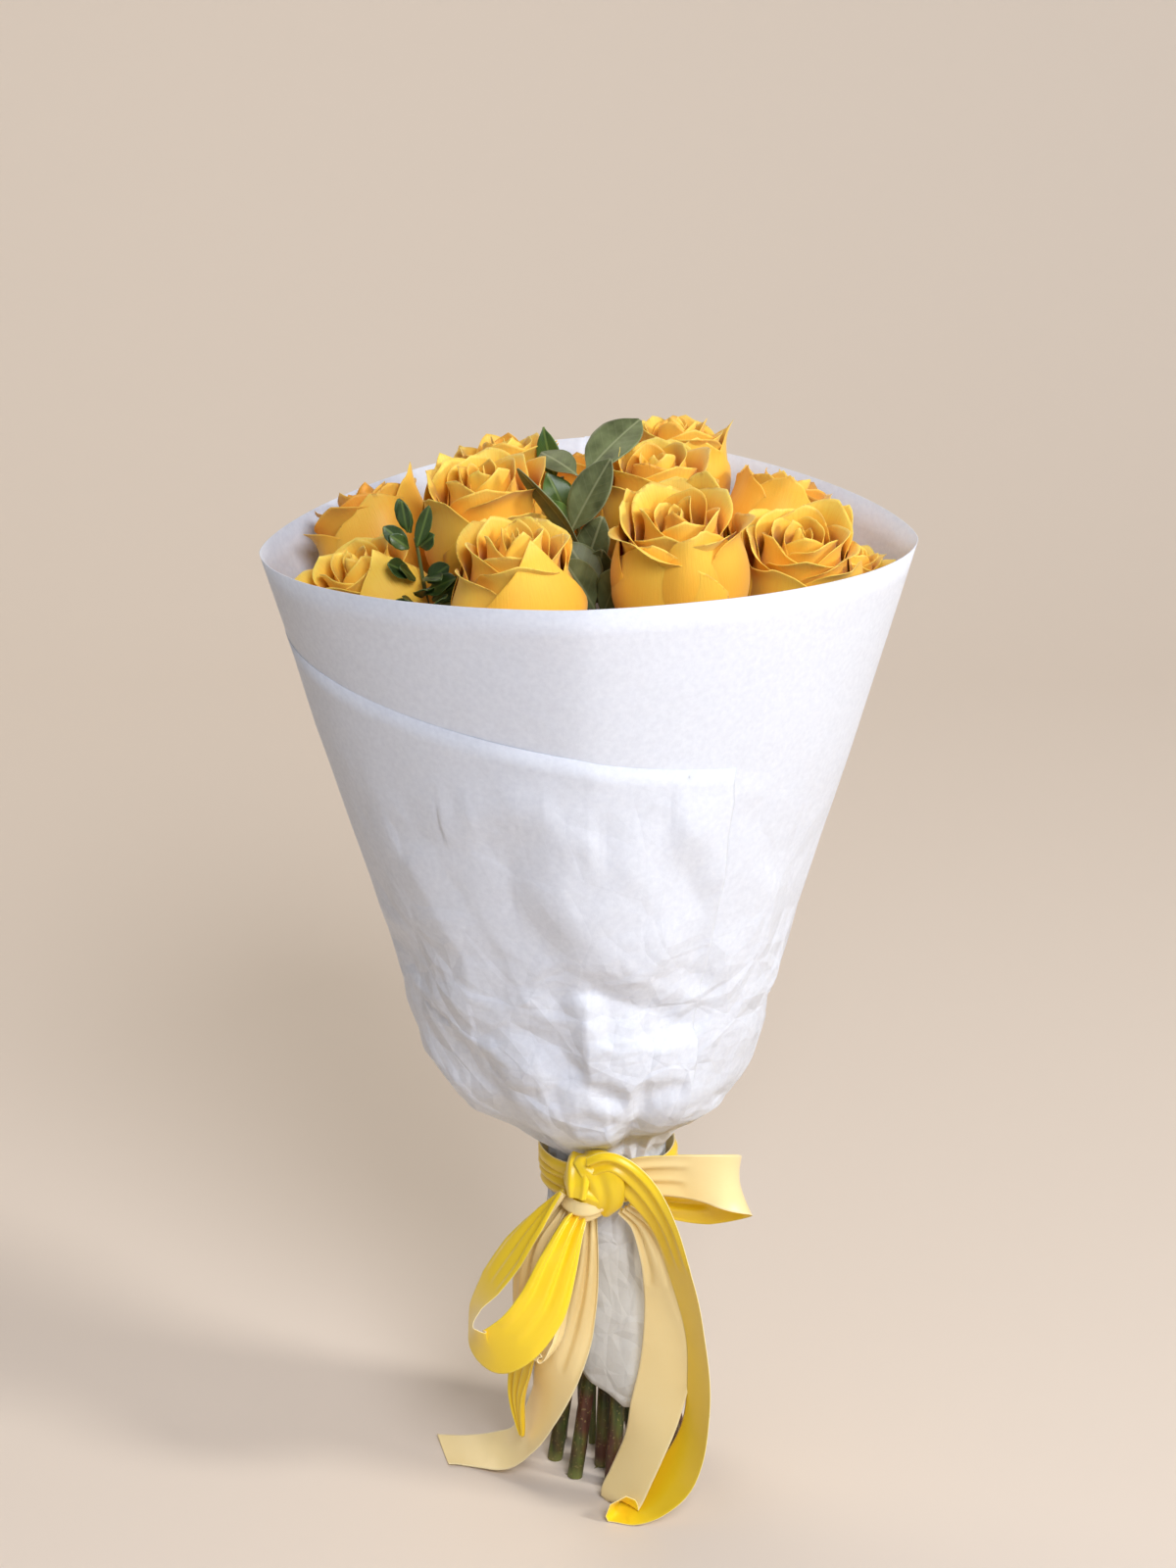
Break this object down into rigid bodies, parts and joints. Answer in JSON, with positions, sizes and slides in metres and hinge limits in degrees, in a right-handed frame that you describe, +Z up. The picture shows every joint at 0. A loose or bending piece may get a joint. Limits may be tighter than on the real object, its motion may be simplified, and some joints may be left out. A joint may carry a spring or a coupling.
{
  "type": "bouquet of roses",
  "caption": "Hand-tied bouquet of yellow roses and greenery in a white paper cone with a two-tone satin ribbon bow, standing on its cut stems",
  "frame": {"origin": "on the standing plane, under the middle of the paper rim", "axes": "+Z up along the bouquet, +X to the right and -Y towards the side with the bow"},
  "size_m": [0.279, 0.2316, 0.4869],
  "materials": {
    "petals": "soft satin rose petal, golden yellow",
    "rose_stems": "waxy green bark with red-brown flushes",
    "sprig_stems": "thin green twig",
    "eucalyptus_leaves": "matt grey-green leaf",
    "ruscus_leaves": "semi-gloss bright green leaf",
    "lentisk_leaves": "glossy dark green leaflet",
    "wrap_paper": "uncoated white florist paper, creased",
    "string": "twisted natural string",
    "satin_ribbon": "satin ribbon, bright yellow one side and cream the other"
  },
  "bodies": {
    "root": {"rose_bloom_01": "petals", "rose_bloom_02": "petals", "rose_bloom_03": "petals", "rose_bloom_04": "petals", "rose_bloom_05": "petals", "rose_bloom_06": "petals", "rose_bloom_07": "petals", "rose_bloom_08": "petals", "rose_bloom_09": "petals", "rose_bloom_10": "petals", "rose_bloom_11": "petals", "rose_bloom_12": "petals", "rose_stem_01": "rose_stems", "rose_stem_02": "rose_stems", "rose_stem_03": "rose_stems", "rose_stem_04": "rose_stems", "rose_stem_05": "rose_stems", "rose_stem_06": "rose_stems", "rose_stem_07": "rose_stems", "rose_stem_08": "rose_stems", "rose_stem_09": "rose_stems", "rose_stem_10": "rose_stems", "rose_stem_11": "rose_stems", "rose_stem_12": "rose_stems", "eucalyptus_stem": "sprig_stems", "eucalyptus_leaf_1": "eucalyptus_leaves", "eucalyptus_leaf_2": "eucalyptus_leaves", "eucalyptus_leaf_3": "eucalyptus_leaves", "eucalyptus_leaf_4": "eucalyptus_leaves", "eucalyptus_leaf_5": "eucalyptus_leaves", "eucalyptus_leaf_6": "eucalyptus_leaves", "ruscus_stem": "sprig_stems", "ruscus_leaf_1": "ruscus_leaves", "ruscus_leaf_2": "ruscus_leaves", "ruscus_leaf_3": "ruscus_leaves", "ruscus_leaf_4": "ruscus_leaves", "lentisk_stem": "sprig_stems", "lentisk_leaf_1": "lentisk_leaves", "lentisk_leaf_2": "lentisk_leaves", "lentisk_leaf_3": "lentisk_leaves", "lentisk_leaf_4": "lentisk_leaves", "lentisk_leaf_5": "lentisk_leaves", "lentisk_leaf_6": "lentisk_leaves", "paper_wrap": "wrap_paper", "binding_string": "string", "ribbon_neck_band": "satin_ribbon", "ribbon_knot": "satin_ribbon", "ribbon_loop_right": "satin_ribbon", "ribbon_loop_long": "satin_ribbon", "ribbon_loop_left": "satin_ribbon", "ribbon_loop_inner": "satin_ribbon", "ribbon_tail_yellow": "satin_ribbon", "ribbon_tail_cream": "satin_ribbon"}
  },
  "joints": []
}
